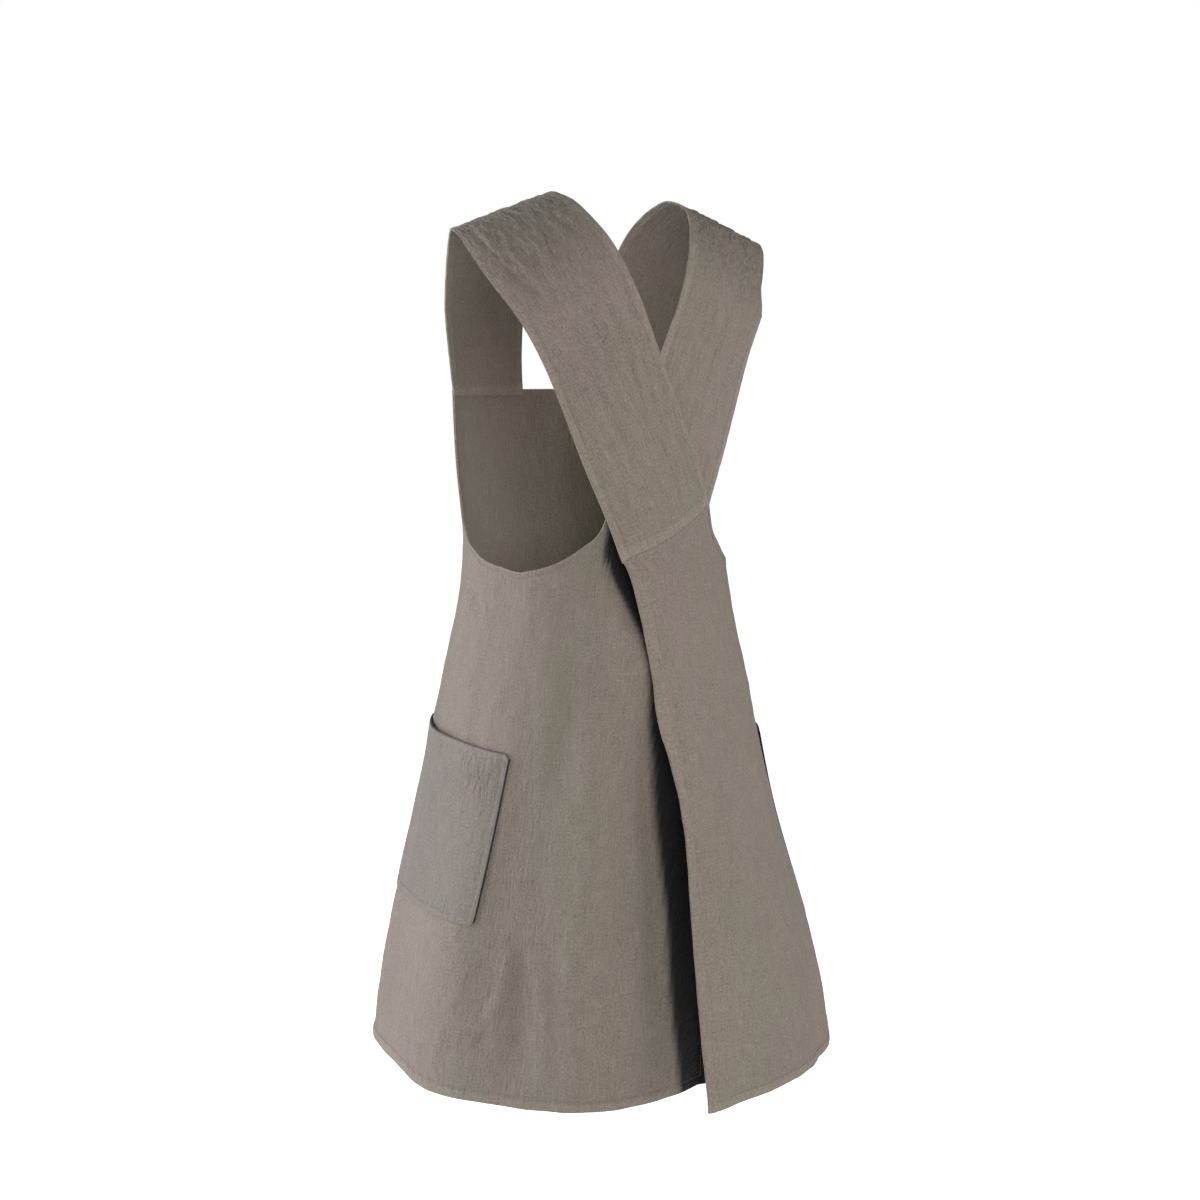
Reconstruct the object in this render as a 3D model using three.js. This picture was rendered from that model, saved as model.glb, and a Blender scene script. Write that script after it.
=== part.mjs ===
import * as THREE from 'three';

// A cross back apron of plain linen, hanging in its worn form.
// Millimetres, +Z up. The wearer faces -Y and the wearer's left is +X.
// The origin is midway between the shoulders, at the height where the straps sit.

// Overall form
const bodyDrop = 975;        // shoulders down to the hem
const hemHalfWidth = 260;    // middle to either side at the hem
const hemBackDepth = 204;    // middle to the back at the hem
const hemFrontDepth = 208;   // middle to the front at the hem
const sectionPower = 2.4;    // 2 is an ellipse, more is squarer
const hemDip = 13;           // the hem hangs this much lower at the back
const hemLean = 7;           // and this much lower at the wearer's right

// Cloth
const clothWall = 1.3;
const hemWall = 2.3;         // where the cloth is turned over and stitched
const hemHeight = 10;
const seamGap = 0.3;         // between pieces that are sewn together

// Top edge of the body
const bibDrop = 215;         // shoulders down to the straight top of the bib
const bibHalfWidth = 150;
const armholeDrop = 411;     // shoulders down to the lowest point of an armhole
const seamInnerDrop = 343;   // where a strap's neck side meets a back panel
const seamOuterDrop = 402;   // where a strap's arm side meets it
const seamInnerReach = 64;   // the same two corners, sideways from the crossing
const seamOuterReach = 54;
const crossShift = 26;       // the crossing sits this far to the wearer's right

// Free edges of the two back panels at the hem, sideways from the middle
const rightEdgeReach = -20;
const leftEdgeReach = -48;
const lapLift = 38;          // the right panel stands off this far at the hem corner
const lapDip = 48;           // the left panel curls in this far at the hem corner
const lapTopClear = 9;       // the same at the seams, each way
const lapSpread = 140;       // how far from a free edge that is felt

// Straps
const strapTopWidth = 118;
const strapSeamWidth = 130;
const strapHalfSpan = 133;   // middle to a strap's centre on the shoulder
const strapBackLength = 419; // over the shoulder down to the back seam, along the cloth
const strapFrontLength = 285;
const strapLayer = 7;        // the left strap lies this far outside the right one
const shoulderFall = 47;     // drop from a strap's neck side to its arm side
const bladeDrop = 124;       // size of the roll over the shoulder

// Pockets
const pocketWidth = 205;
const pocketHeight = 190;
const pocketDrop = 610;      // shoulders down to the top back corner
const pocketTurn = 50;       // degrees from the back round to that corner
const farPocketTurn = 68;    // the same on the wearer's right, as the cloth hangs turned that way
const pocketLean = 13;       // the back edge leans forward by this much
const pocketRise = 22;       // the mouth climbs this much towards the front
const pocketBelly = 17;      // how far the mouth stands open
const pocketCorner = 10;     // the cut at the top back corner
const pocketWall = 1.3;
const pocketClear = 0.8;     // sewn edge to the body

// Folds
const foldDepth = 11;

// Each row is a level of the body: widths and depths as shares of those at the hem.
const sections = [
  { drop: 0.10, half: 0.75, middle: 0.00, back: 0.51, front: 0.56 },
  { drop: 0.20, half: 0.67, middle: -0.03, back: 0.53, front: 0.62 },
  { drop: 0.30, half: 0.62, middle: -0.07, back: 0.52, front: 0.64 },
  { drop: 0.38, half: 0.58, middle: -0.12, back: 0.52, front: 0.63 },
  { drop: 0.42, half: 0.58, middle: -0.13, back: 0.53, front: 0.63 },
  { drop: 0.46, half: 0.60, middle: -0.13, back: 0.56, front: 0.64 },
  { drop: 0.56, half: 0.68, middle: -0.13, back: 0.65, front: 0.69 },
  { drop: 0.72, half: 0.80, middle: -0.11, back: 0.78, front: 0.81 },
  { drop: 0.82, half: 0.89, middle: -0.07, back: 0.87, front: 0.89 },
  { drop: 0.90, half: 0.95, middle: -0.03, back: 0.93, front: 0.94 },
  { drop: 1.00, half: 1.00, middle: 0.00, back: 1.00, front: 1.00 },
];

// The armhole edge from the back seam corner (0) round to the bib corner (1).
const armhole = [
  { along: 0.00, fall: 0.00 },
  { along: 0.05, fall: 0.48 },
  { along: 0.12, fall: 0.73 },
  { along: 0.22, fall: 0.91 },
  { along: 0.36, fall: 1.00 },
  { along: 0.52, fall: 0.985 },
  { along: 0.66, fall: 0.94 },
  { along: 0.77, fall: 0.84 },
  { along: 0.86, fall: 0.66 },
  { along: 0.93, fall: 0.42 },
  { along: 1.00, fall: 0.00 },
];

// The roll over a shoulder, in shares of bladeDrop: front bib seam, crest, shoulder blade.
const shoulderRoll = [
  { along: -2.30, deep: -1.03, drop: 1.73 },
  { along: -1.77, deep: -1.00, drop: 1.21 },
  { along: -1.27, deep: -0.87, drop: 0.73 },
  { along: -0.85, deep: -0.65, drop: 0.36 },
  { along: -0.47, deep: -0.36, drop: 0.11 },
  { along: -0.16, deep: -0.08, drop: -0.015 },
  { along: 0.00, deep: 0.08, drop: -0.025 },
  { along: 0.16, deep: 0.25, drop: 0.01 },
  { along: 0.34, deep: 0.43, drop: 0.08 },
  { along: 0.55, deep: 0.58, drop: 0.225 },
  { along: 0.84, deep: 0.74, drop: 0.47 },
  { along: 1.10, deep: 0.82, drop: 0.72 },
  { along: 1.39, deep: 0.86, drop: 1.00 },
];

// A strap's centreline: along it, and sideways as a share of strapHalfSpan.
const strapFront = [
  { along: -1.00, side: 0.68 },
  { along: -0.70, side: 0.75 },
  { along: -0.40, side: 0.86 },
  { along: -0.16, side: 0.95 },
];
const strapBack = [
  { along: 0.00, side: 1.00, shift: 0.35 },
  { along: 0.10, side: 0.98, shift: 0.40 },
  { along: 0.19, side: 0.92, shift: 0.50 },
  { along: 0.30, side: 0.81, shift: 0.62 },
  { along: 0.465, side: 0.62, shift: 0.80 },
  { along: 0.60, side: 0.44, shift: 0.82 },
  { along: 0.75, side: 0.24, shift: 0.88 },
  { along: 0.90, side: 0.03, shift: 0.98 },
  { along: 1.00, side: -0.09, shift: 1.00 },
];

// Soft folds of the skirt: degrees round from the back, height, width and where each starts.
const folds = [
  { turn: 22, height: 0.35, spread: 13, start: 0.50 },
  { turn: 44, height: -0.55, spread: 12, start: 0.45 },
  { turn: 66, height: 0.50, spread: 12, start: 0.55 },
  { turn: 92, height: -0.35, spread: 12, start: 0.60 },
  { turn: 118, height: 0.60, spread: 14, start: 0.55 },
  { turn: 146, height: -0.70, spread: 13, start: 0.50 },
  { turn: 172, height: 0.55, spread: 14, start: 0.60 },
  { turn: 200, height: -0.60, spread: 13, start: 0.55 },
  { turn: 226, height: 0.70, spread: 14, start: 0.50 },
  { turn: 252, height: -0.50, spread: 13, start: 0.60 },
  { turn: 286, height: 1.10, spread: 16, start: 0.65 },
  { turn: 308, height: -0.40, spread: 12, start: 0.50 },
  { turn: 332, height: 0.30, spread: 11, start: 0.60 },
];

// How finely each piece is cut
const seamColumns = 5;
const armholeColumns = 17;
const bibColumns = 22;
const bodyRows = 24;
const strapRows = 42;
const pocketColumns = 14;
const pocketRows = 11;

const fullTurn = 360;
const degrees = 2 * Math.PI / fullTurn;
const lerp = THREE.MathUtils.lerp;
const clamp = THREE.MathUtils.clamp;

function ease(t) {
  const k = clamp(t, 0, 1);
  return k * k * (3 - 2 * k);
}

// A smooth curve through one column of a table, read at a place along another column.
function readTable(rows, placeColumn, column, place) {
  const last = rows.length - 1;
  const at = clamp(place, rows[0][placeColumn], rows[last][placeColumn]);
  let i = 0;
  while (i < last - 1 && rows[i + 1][placeColumn] < at) {
    i += 1;
  }
  const slope = (k) => {
    const before = rows[Math.max(k - 1, 0)];
    const after = rows[Math.min(k + 1, last)];
    return (after[column] - before[column]) / (after[placeColumn] - before[placeColumn]);
  };
  const a = rows[i];
  const b = rows[i + 1];
  const span = b[placeColumn] - a[placeColumn];
  const t = (at - a[placeColumn]) / span;
  const t2 = t * t;
  const t3 = t2 * t;
  return (2 * t3 - 3 * t2 + 1) * a[column] + (t3 - 2 * t2 + t) * span * slope(i)
    + (3 * t2 - 2 * t3) * b[column] + (t3 - t2) * span * slope(i + 1);
}

// Half width, widest line and depths of the body at a drop below the shoulders.
function sectionAt(drop) {
  const share = drop / bodyDrop;
  return {
    half: readTable(sections, 'drop', 'half', share) * hemHalfWidth,
    middle: readTable(sections, 'drop', 'middle', share) * hemBackDepth,
    back: readTable(sections, 'drop', 'back', share) * hemBackDepth,
    front: readTable(sections, 'drop', 'front', share) * hemFrontDepth,
  };
}

function signedPower(value, power) {
  return Math.sign(value) * Math.abs(value) ** power;
}

function foldAt(turn, drop) {
  let height = 0;
  for (const fold of folds) {
    const away = (turn - fold.turn) / fold.spread;
    const grown = ease((drop / bodyDrop - fold.start) / (1 - fold.start));
    height += fold.height * foldDepth * grown * Math.exp(-away * away);
  }
  return height;
}

// A point of the body: turn in degrees from straight back towards the wearer's left.
function bodySkin(turn, drop, standOff) {
  const s = sectionAt(drop);
  const across = signedPower(Math.sin(turn * degrees), 2 / sectionPower);
  const along = signedPower(Math.cos(turn * degrees), 2 / sectionPower);
  const depth = along > 0 ? s.back - s.middle : s.front + s.middle;
  const out = new THREE.Vector2(
    signedPower(across, sectionPower - 1) / s.half,
    signedPower(along, sectionPower - 1) / depth,
  ).normalize();
  const push = foldAt(turn, drop) + standOff;
  return new THREE.Vector3(
    s.half * across + out.x * push,
    s.middle + depth * along + out.y * push,
    -drop,
  );
}

// The turn at which the back of a section lies this far sideways.
function turnOfSide(side, drop) {
  const share = clamp(Math.abs(side) / sectionAt(drop).half, 0, 1);
  return Math.sign(side) * Math.asin(share ** (sectionPower / 2)) / degrees;
}

// The turn reached after walking a distance round the body at one level.
function turnAfter(turn, drop, distance) {
  const step = Math.sign(distance);
  let left = Math.abs(distance);
  let at = turn;
  let point = bodySkin(at, drop, 0);
  while (left > 0) {
    const next = bodySkin(at + step, drop, 0);
    const length = next.distanceTo(point);
    at += step * Math.min(1, left / length);
    left -= length;
    point = next;
  }
  return at;
}

// Free edges of the back panels
const leftEdgeTop = -seamOuterReach - crossShift;
const rightEdgeTop = seamOuterReach - crossShift;

function edgeShare(drop) {
  return clamp((drop - seamOuterDrop) / (bodyDrop - seamOuterDrop), 0, 1);
}

function leftEdgeTurn(drop) {
  return turnOfSide(lerp(leftEdgeTop, leftEdgeReach, edgeShare(drop)), drop);
}

function rightEdgeTurn(drop) {
  const settle = Math.sqrt(edgeShare(drop));
  return fullTurn + turnOfSide(lerp(rightEdgeTop, rightEdgeReach, settle), drop);
}

// Corners of the top edge, as shares of the way round from one free edge to the other
function wayRound(turn, drop) {
  const start = leftEdgeTurn(drop);
  return (turn - start) / (rightEdgeTurn(drop) - start);
}

const bibTurn = fullTurn / 2 - turnOfSide(bibHalfWidth, bibDrop);
const corners = {
  leftSeam: wayRound(turnOfSide(seamInnerReach - crossShift, seamInnerDrop), seamInnerDrop),
  leftBib: wayRound(bibTurn, bibDrop),
  rightBib: wayRound(fullTurn - bibTurn, bibDrop),
  rightSeam: wayRound(fullTurn + turnOfSide(-seamInnerReach - crossShift, seamInnerDrop), seamInnerDrop),
};

// From a seam corner the armhole falls to its lowest point, then climbs to the bib corner.
function armholeAt(along) {
  const fall = readTable(armhole, 'along', 'fall', along);
  const lowest = armhole.reduce((low, row) => (row.fall > low.fall ? row : low));
  const rim = along < lowest.along ? seamInnerDrop : bibDrop;
  return lerp(rim, armholeDrop, fall);
}

function topDrop(way) {
  if (way <= corners.leftSeam) {
    return lerp(seamOuterDrop, seamInnerDrop, way / corners.leftSeam);
  }
  if (way >= corners.rightSeam) {
    return lerp(seamInnerDrop, seamOuterDrop, (way - corners.rightSeam) / (1 - corners.rightSeam));
  }
  if (way < corners.leftBib) {
    return armholeAt((way - corners.leftSeam) / (corners.leftBib - corners.leftSeam));
  }
  if (way > corners.rightBib) {
    return armholeAt((corners.rightSeam - way) / (corners.rightSeam - corners.rightBib));
  }
  return bibDrop;
}

function hemDrop(way) {
  const turn = way * fullTurn * degrees;
  return bodyDrop + hemDip * Math.cos(turn) - hemLean * Math.sin(turn);
}

// The right panel stands off over the left one, which curls in under it.
function lapOffset(turn, drop) {
  const size = edgeShare(drop);
  const half = sectionAt(drop).half;
  const fromRight = (rightEdgeTurn(drop) - turn) * degrees * half / lapSpread;
  const fromLeft = (turn - leftEdgeTurn(drop)) * degrees * half / lapSpread;
  const lift = lerp(lapTopClear, lapLift, size) * (1 - clamp(fromRight, 0, 1)) ** 2;
  const dip = lerp(lapTopClear, lapDip, size) * (1 - clamp(fromLeft, 0, 1)) ** 2;
  return lift - dip;
}

// A point of the body panel: way round from 0 to 1, and down from 0 to 1.
function bodyPoint(way, down) {
  const drop = lerp(topDrop(way), hemDrop(way), down);
  const turn = lerp(leftEdgeTurn(drop), rightEdgeTurn(drop), way);
  return bodySkin(turn, drop, lapOffset(turn, drop));
}

// A closed wall of cloth round a grid of points, with its thickness given at each.
function clothWallMesh(name, columns, rows, pointAt, wallAt, material) {
  const grid = rows.map((row) => columns.map((column) => pointAt(column, row)));
  const wide = columns.length;
  const tall = rows.length;
  const outside = [];
  const inside = [];
  for (let j = 0; j < tall; j += 1) {
    for (let i = 0; i < wide; i += 1) {
      const across = grid[j][Math.min(i + 1, wide - 1)].clone().sub(grid[j][Math.max(i - 1, 0)]);
      const down = grid[Math.min(j + 1, tall - 1)][i].clone().sub(grid[Math.max(j - 1, 0)][i]);
      const normal = down.cross(across).normalize().multiplyScalar(wallAt(columns[i], rows[j]) / 2);
      outside.push(grid[j][i].clone().sub(normal));
      inside.push(grid[j][i].clone().add(normal));
    }
  }
  const count = wide * tall;
  const index = [];
  const quad = (a, b, c, d) => index.push(a, b, c, a, c, d);
  for (let j = 0; j < tall - 1; j += 1) {
    for (let i = 0; i < wide - 1; i += 1) {
      const a = j * wide + i;
      quad(a, a + 1, a + 1 + wide, a + wide);
      quad(a + count, a + wide + count, a + 1 + wide + count, a + 1 + count);
    }
  }
  const edge = (a, b) => quad(a, a + count, b + count, b);
  for (let i = 0; i < wide - 1; i += 1) {
    edge(i, i + 1);
    edge((tall - 1) * wide + i + 1, (tall - 1) * wide + i);
  }
  for (let j = 0; j < tall - 1; j += 1) {
    edge((j + 1) * wide, j * wide);
    edge(j * wide + wide - 1, (j + 1) * wide + wide - 1);
  }
  const geometry = new THREE.BufferGeometry();
  const points = [...outside, ...inside].flatMap((p) => [p.x, p.y, p.z]);
  geometry.setAttribute('position', new THREE.Float32BufferAttribute(points, 3));
  geometry.setIndex(index);
  geometry.computeVertexNormals();
  const mesh = new THREE.Mesh(geometry, material);
  mesh.name = name;
  return mesh;
}

function evenSteps(start, end, count) {
  return Array.from({ length: count }, (_, i) => lerp(start, end, i / count));
}

const linen = new THREE.MeshStandardMaterial({ color: 0x81786c, roughness: 0.9, metalness: 0 });

// Where the cloth is cut along a seam: shares of it from the free edge's hem to the armhole.
const sideHem = hemHeight / (2 * Math.PI * hemHalfWidth);

function seamShares(span) {
  const hem = sideHem / span;
  return [0, hem, ...evenSteps(2 * hem, 1, seamColumns), 1];
}

// Body panel
function makeBody() {
  const hemShare = hemHeight / (bodyDrop - armholeDrop);
  const rightSpan = 1 - corners.rightSeam;
  const columns = [
    ...seamShares(corners.leftSeam).map((share) => share * corners.leftSeam),
    ...evenSteps(corners.leftSeam, corners.leftBib, armholeColumns).slice(1),
    ...evenSteps(corners.leftBib, corners.rightBib, bibColumns),
    ...evenSteps(corners.rightBib, corners.rightSeam, armholeColumns),
    ...seamShares(rightSpan).reverse().map((share) => 1 - share * rightSpan),
  ];
  const rows = [...evenSteps(0, 1 - hemShare, bodyRows), 1 - hemShare, 1];
  const wallAt = (way, down) => {
    const onHem = down > 1 - hemShare / 2 || way < sideHem / 2 || way > 1 - sideHem / 2;
    return onHem ? hemWall : clothWall;
  };
  return clothWallMesh('body_panel', columns, rows, bodyPoint, wallAt, linen);
}

// The shoulder and upper back that the straps lie on: along the cloth from the crest of the
// shoulder, positive to the back, and sideways from the middle.
function shoulderSkin(side, along) {
  const roll = shoulderRoll[shoulderRoll.length - 1];
  const rollEnd = roll.along * bladeDrop;
  const place = clamp(along / bladeDrop, shoulderRoll[0].along, roll.along);
  const below = Math.max(along - rollEnd, 0);
  const drop = readTable(shoulderRoll, 'along', 'drop', place) * bladeDrop + below;
  const s = sectionAt(Math.max(drop, 0));
  const rollDeep = readTable(shoulderRoll, 'along', 'deep', place) * bladeDrop;
  const deep = lerp(rollDeep, s.back, ease(below / bladeDrop));
  const round = (1 - clamp(Math.abs(side) / s.half, 0, 0.98) ** sectionPower) ** (1 / sectionPower);
  const slope = 1 - ease((drop / bladeDrop - 0.4) / 1.3);
  const softSide = Math.hypot(side, strapHalfSpan / 3) - strapHalfSpan * 0.6;
  const fall = shoulderFall * softSide / strapTopWidth * slope;
  return new THREE.Vector3(side, s.middle + (deep - s.middle) * round, -drop - fall);
}

// Where a strap's centre lies: sideways and along the cloth.
function strapCentre(t) {
  const along = lerp(-strapFrontLength, strapBackLength, t);
  if (along < 0) {
    const rows = [...strapFront, { along: 0, side: 1 }];
    const side = readTable(rows, 'along', 'side', along / strapFrontLength) * strapHalfSpan;
    return { side, along, shift: strapBack[0].shift * ease(1 + along / strapFrontLength) };
  }
  const share = along / strapBackLength;
  return {
    side: readTable(strapBack, 'along', 'side', share) * strapHalfSpan,
    along,
    shift: readTable(strapBack, 'along', 'shift', share),
  };
}

// A strap from its bib seam (t = 0) over the shoulder to its back seam (t = 1).
// w runs across it from its neck side (-1) to its arm side (1).
function strapPoint(t, w, hand) {
  const step = 0.01;
  const before = strapCentre(Math.max(t - step, 0));
  const after = strapCentre(Math.min(t + step, 1));
  const centre = strapCentre(t);
  const heading = new THREE.Vector2(after.side - before.side, after.along - before.along).normalize();
  const half = lerp(strapTopWidth, strapSeamWidth, ease((t - 0.4) / 0.6)) / 2;
  const side = hand * (centre.side + heading.y * half * w) - crossShift * centre.shift;
  const point = shoulderSkin(side, centre.along - heading.x * half * w);
  point.y += hand * strapLayer / 2 * ease((centre.along / strapBackLength - 0.05) / 0.3);
  return point;
}

// The ends of a strap run into the body's top edge, a seam gap away from it.
function sewnStrapPoint(t, w, hand) {
  const across = (w + 1) / 2;
  const bibInner = bibHalfWidth - strapTopWidth * 0.9;
  const bibTurnAt = fullTurn / 2 - turnOfSide(lerp(bibInner, bibHalfWidth, across), bibDrop);
  const bibWay = wayRound(hand > 0 ? bibTurnAt : fullTurn - bibTurnAt, bibDrop);
  const seamWay = hand > 0 ? lerp(corners.rightSeam, 1, across) : lerp(corners.leftSeam, 0, across);
  const frontEnd = bodyPoint(bibWay, 0);
  frontEnd.z += seamGap;
  const backEnd = bodyPoint(seamWay, 0);
  backEnd.z += seamGap * strapSeamWidth / (seamInnerReach + seamOuterReach);
  const point = strapPoint(t, w, hand);
  const toFront = frontEnd.sub(strapPoint(0, w, hand)).multiplyScalar(ease(1 - t / 0.3));
  const toBack = backEnd.sub(strapPoint(1, w, hand)).multiplyScalar(ease((t - 0.7) / 0.3));
  return point.add(toFront).add(toBack);
}

function makeStrap(name, hand) {
  const rows = [...evenSteps(0, 1, strapRows), 1];
  const shares = seamShares(hand > 0 ? 1 - corners.rightSeam : corners.leftSeam);
  const across = shares.map((share) => 1 - 2 * share);
  const columns = hand > 0 ? across.reverse() : across;
  const pointAt = (w, t) => sewnStrapPoint(t, w, hand);
  return clothWallMesh(name, columns, rows, pointAt, () => clothWall, linen);
}

// Pockets: a patch sewn down at its sides and bottom, with its mouth standing open.
function makePocket(name, hand) {
  const standClear = clothWall / 2 + pocketClear + pocketWall / 2;
  const backTurn = hand > 0 ? pocketTurn : farPocketTurn;
  const pointAt = (across, down) => {
    const fromCorner = across * pocketWidth;
    const cut = Math.max(pocketCorner - fromCorner, 0) * (1 - down);
    const drop = pocketDrop + down * pocketHeight - across * pocketRise + cut;
    const start = turnAfter(backTurn, drop, pocketLean * down);
    const turn = turnAfter(start, drop, fromCorner);
    const belly = Math.sin(Math.PI * across) ** 0.8 * (1 - down) ** 1.4 * pocketBelly;
    return bodySkin(hand > 0 ? turn : fullTurn - turn, drop, standClear + belly);
  };
  const even = [...evenSteps(0, 1, pocketColumns), 1];
  const columns = hand > 0 ? even : even.map((across) => 1 - across);
  const rows = [...evenSteps(0, 1, pocketRows), 1];
  return clothWallMesh(name, columns, rows, pointAt, () => pocketWall, linen);
}

const apron = new THREE.Group();
apron.add(makeBody());
apron.add(makeStrap('left_strap', 1));
apron.add(makeStrap('right_strap', -1));
apron.add(makePocket('left_pocket', 1));
apron.add(makePocket('right_pocket', -1));

export default apron;
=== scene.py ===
import math

import bpy
import numpy as np
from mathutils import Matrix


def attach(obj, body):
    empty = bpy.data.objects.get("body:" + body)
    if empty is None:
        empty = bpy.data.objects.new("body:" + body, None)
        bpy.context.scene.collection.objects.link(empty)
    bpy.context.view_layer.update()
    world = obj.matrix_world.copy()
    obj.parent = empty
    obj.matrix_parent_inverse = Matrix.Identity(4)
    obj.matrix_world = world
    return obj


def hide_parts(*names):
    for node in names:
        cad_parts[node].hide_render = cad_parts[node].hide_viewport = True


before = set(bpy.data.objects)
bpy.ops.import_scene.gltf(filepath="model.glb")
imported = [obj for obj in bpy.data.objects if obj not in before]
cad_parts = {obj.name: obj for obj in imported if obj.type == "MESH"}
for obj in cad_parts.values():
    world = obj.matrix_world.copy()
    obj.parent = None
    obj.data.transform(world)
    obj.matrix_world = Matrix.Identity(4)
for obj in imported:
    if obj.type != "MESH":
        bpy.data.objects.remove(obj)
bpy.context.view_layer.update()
print("frame loaded")

# How the apron hangs, in metres. Turns are degrees round from straight back towards the wearer's left.
form = {
    "bodyDrop": 0.975,
    "hemHalfWidth": 0.260,
    "hemBackDepth": 0.204,
    "hemFrontDepth": 0.208,
    "sectionPower": 2.4,
    "hemDip": 0.013,
    "hemLean": 0.007,
    "bibDrop": 0.215,
    "bibHalfWidth": 0.150,
    "armholeDrop": 0.411,
    "seamInnerDrop": 0.343,
    "seamOuterDrop": 0.402,
    "seamInnerReach": 0.064,
    "seamOuterReach": 0.054,
    "crossShift": 0.026,
    "rightEdgeReach": -0.020,
    "leftEdgeReach": -0.048,
    "lapLift": 0.038,
    "lapDip": 0.048,
    "lapTopClear": 0.009,
    "lapSpread": 0.140,
    "foldDepth": 0.011,
    "dipShort": 0.026,
    "dipLong": 0.075,
    "wanderFrom": 0.90,
    "pocketMiddle": 76,
    "farPocketMiddle": 266,
}

# Levels of the body, as shares of the sizes at the hem
sections = {
    "drop": [0.10, 0.20, 0.30, 0.38, 0.42, 0.46, 0.56, 0.72, 0.82, 0.90, 1.00],
    "half": [0.75, 0.67, 0.62, 0.58, 0.58, 0.60, 0.68, 0.80, 0.89, 0.95, 1.00],
    "middle": [0.00, -0.03, -0.07, -0.12, -0.13, -0.13, -0.13, -0.11, -0.07, -0.03, 0.00],
    "back": [0.51, 0.53, 0.52, 0.52, 0.53, 0.56, 0.65, 0.78, 0.87, 0.93, 1.00],
    "front": [0.56, 0.62, 0.64, 0.63, 0.63, 0.64, 0.69, 0.81, 0.89, 0.94, 1.00],
}

# The armhole edge, from the back seam corner round to the bib corner
armhole = {
    "along": [0.00, 0.05, 0.12, 0.22, 0.36, 0.52, 0.66, 0.77, 0.86, 0.93, 1.00],
    "fall": [0.00, 0.40, 0.62, 0.85, 1.00, 0.985, 0.94, 0.84, 0.66, 0.42, 0.00],
}

# Soft folds of the skirt: where, how high, how wide and how far down each starts
folds = {
    "turn": [22, 44, 66, 92, 118, 146, 172, 200, 226, 252, 286, 308, 332],
    "height": [0.35, -0.55, 0.50, -0.35, 0.60, -0.70, 0.55, -0.60, 0.70, -0.50, 1.10, -0.40, 0.30],
    "spread": [13, 12, 12, 12, 14, 13, 14, 13, 14, 13, 16, 12, 11],
    "start": [0.50, 0.45, 0.55, 0.60, 0.55, 0.50, 0.60, 0.55, 0.50, 0.60, 0.65, 0.50, 0.60],
}


def lerp(a, b, t):
    return a + (b - a) * t


def ease(t):
    k = np.clip(t, 0, 1)
    return k * k * (3 - 2 * k)


def bell(distance, width):
    return np.exp(-(distance / width) ** 2)


# A smooth curve through one column of a table
def readTable(table, placeColumn, column, place):
    places = np.array(table[placeColumn], float)
    values = np.array(table[column], float)
    last = len(places) - 1
    at = np.clip(place, places[0], places[-1])
    i = np.clip(np.searchsorted(places, at) - 1, 0, last - 1)
    before = np.maximum(np.arange(last + 1) - 1, 0)
    after = np.minimum(np.arange(last + 1) + 1, last)
    slopes = (values[after] - values[before]) / (places[after] - places[before])
    span = places[i + 1] - places[i]
    t = (at - places[i]) / span
    start = (2 * t ** 3 - 3 * t ** 2 + 1) * values[i] + (t ** 3 - 2 * t ** 2 + t) * span * slopes[i]
    end = (3 * t ** 2 - 2 * t ** 3) * values[i + 1] + (t ** 3 - t ** 2) * span * slopes[i + 1]
    return start + end


def sectionAt(drop):
    share = drop / form["bodyDrop"]
    half = readTable(sections, "drop", "half", share) * form["hemHalfWidth"]
    middle = readTable(sections, "drop", "middle", share) * form["hemBackDepth"]
    back = readTable(sections, "drop", "back", share) * form["hemBackDepth"]
    front = readTable(sections, "drop", "front", share) * form["hemFrontDepth"]
    return half, middle, back, front


def signedPower(value, power):
    return np.sign(value) * np.abs(value) ** power


def foldAt(turn, drop):
    height = 0 * turn
    for place, rise, spread, start in zip(*folds.values()):
        grown = ease((drop / form["bodyDrop"] - start) / (1 - start))
        height = height + rise * form["foldDepth"] * grown * bell(turn - place, spread)
    return height


# Points of the body's skin, as one array of places
def bodySkin(turn, drop, standOff):
    turn, drop, standOff = np.broadcast_arrays(turn, drop, standOff)
    half, middle, back, front = sectionAt(drop)
    power = form["sectionPower"]
    across = signedPower(np.sin(np.radians(turn)), 2 / power)
    along = signedPower(np.cos(np.radians(turn)), 2 / power)
    depth = np.where(along > 0, back - middle, front + middle)
    outX = signedPower(across, power - 1) / half
    outY = signedPower(along, power - 1) / depth
    push = (foldAt(turn, drop) + standOff) / np.hypot(outX, outY)
    return np.stack([half * across + outX * push, middle + depth * along + outY * push, -drop], axis=-1)


def turnOfSide(side, drop):
    share = np.clip(np.abs(side) / sectionAt(drop)[0], 0, 1)
    return np.sign(side) * np.degrees(np.arcsin(share ** (form["sectionPower"] / 2)))


# The turns reached after walking given distances round the body
def turnAfter(turn, drop, distance):
    at = turn + 0 * drop
    left = distance + 0 * drop
    point = bodySkin(at, drop, 0)
    while (left > 0).any():
        after = bodySkin(at + 1, drop, 0)
        length = np.maximum(np.linalg.norm(after - point, axis=-1), 1e-9)
        at = at + np.clip(left / length, 0, 1)
        left = np.maximum(left - length, 0)
        point = after
    return at


def edgeShare(drop):
    return np.clip((drop - form["seamOuterDrop"]) / (form["bodyDrop"] - form["seamOuterDrop"]), 0, 1)


def leftEdgeTurn(drop):
    top = -form["seamOuterReach"] - form["crossShift"]
    return turnOfSide(lerp(top, form["leftEdgeReach"], edgeShare(drop)), drop)


def rightEdgeTurn(drop):
    top = form["seamOuterReach"] - form["crossShift"]
    return 360 + turnOfSide(lerp(top, form["rightEdgeReach"], np.sqrt(edgeShare(drop))), drop)


def wayRound(turn, drop):
    start = leftEdgeTurn(drop)
    return (turn - start) / (rightEdgeTurn(drop) - start)


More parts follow.
